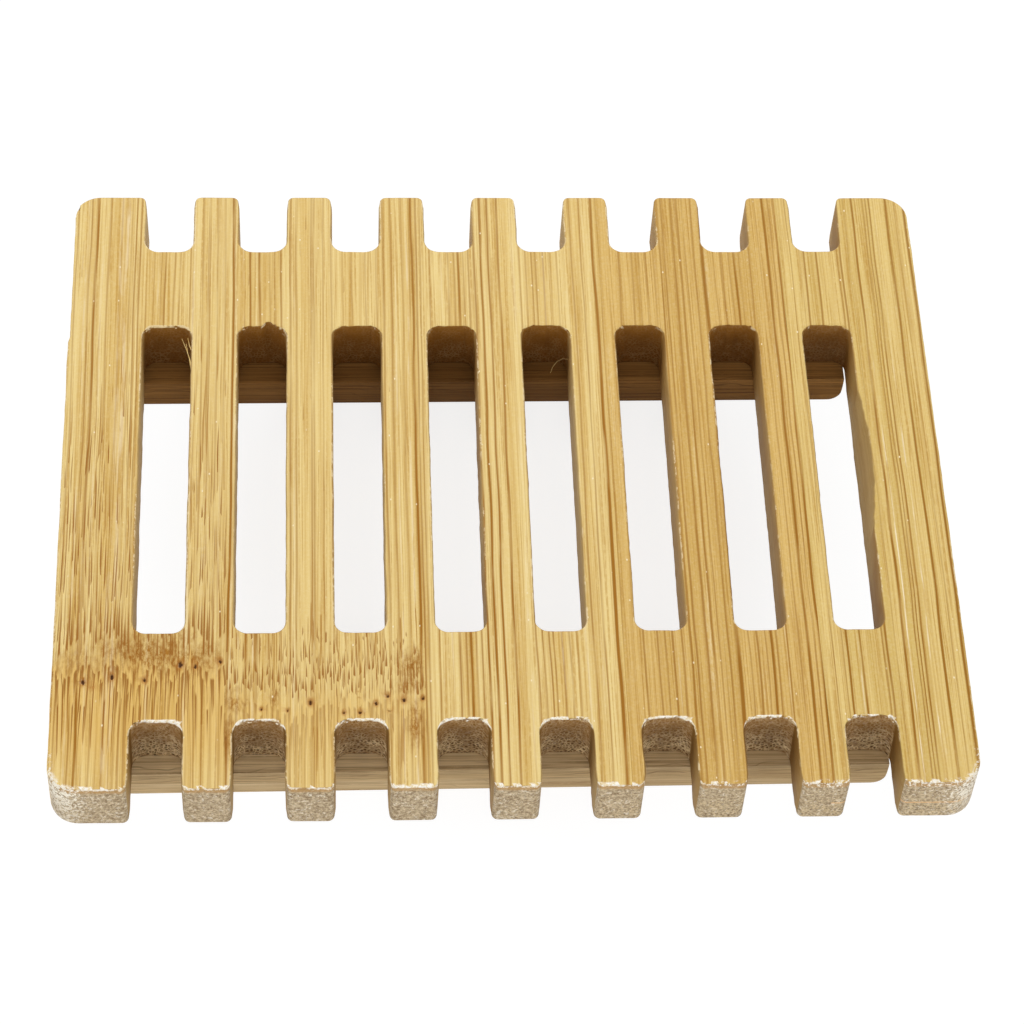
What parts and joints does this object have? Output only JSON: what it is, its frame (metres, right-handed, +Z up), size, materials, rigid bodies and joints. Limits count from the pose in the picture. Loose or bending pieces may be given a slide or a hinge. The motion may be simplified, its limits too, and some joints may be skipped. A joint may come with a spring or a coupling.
{
  "type": "slatted bamboo soap dish",
  "caption": "Flat bamboo soap dish: a slatted plate with comb-like ends and long drain slots, glued up from strips and standing on two low cross runners.",
  "frame": {"origin": "middle of the dish's underside, on the surface it stands on", "axes": "+X to the right across the slats, +Y to the rear along the slats, +Z up"},
  "size_m": [0.11, 0.0912, 0.012],
  "materials": {
    "knuckled_bamboo": "sanded, unvarnished, close brown fibre streaks and a knuckle band",
    "plain_bamboo": "sanded, unvarnished, straight pale grain",
    "runner_bamboo": "sanded, unvarnished, darker cross grain"
  },
  "bodies": {
    "root": {"left_edge_strip": "knuckled_bamboo", "left_inner_strip": "knuckled_bamboo", "middle_strip": "plain_bamboo", "right_inner_strip": "plain_bamboo", "right_edge_top_ply": "plain_bamboo", "right_edge_bottom_ply": "plain_bamboo", "front_runner": "runner_bamboo", "rear_runner": "runner_bamboo"}
  },
  "joints": []
}
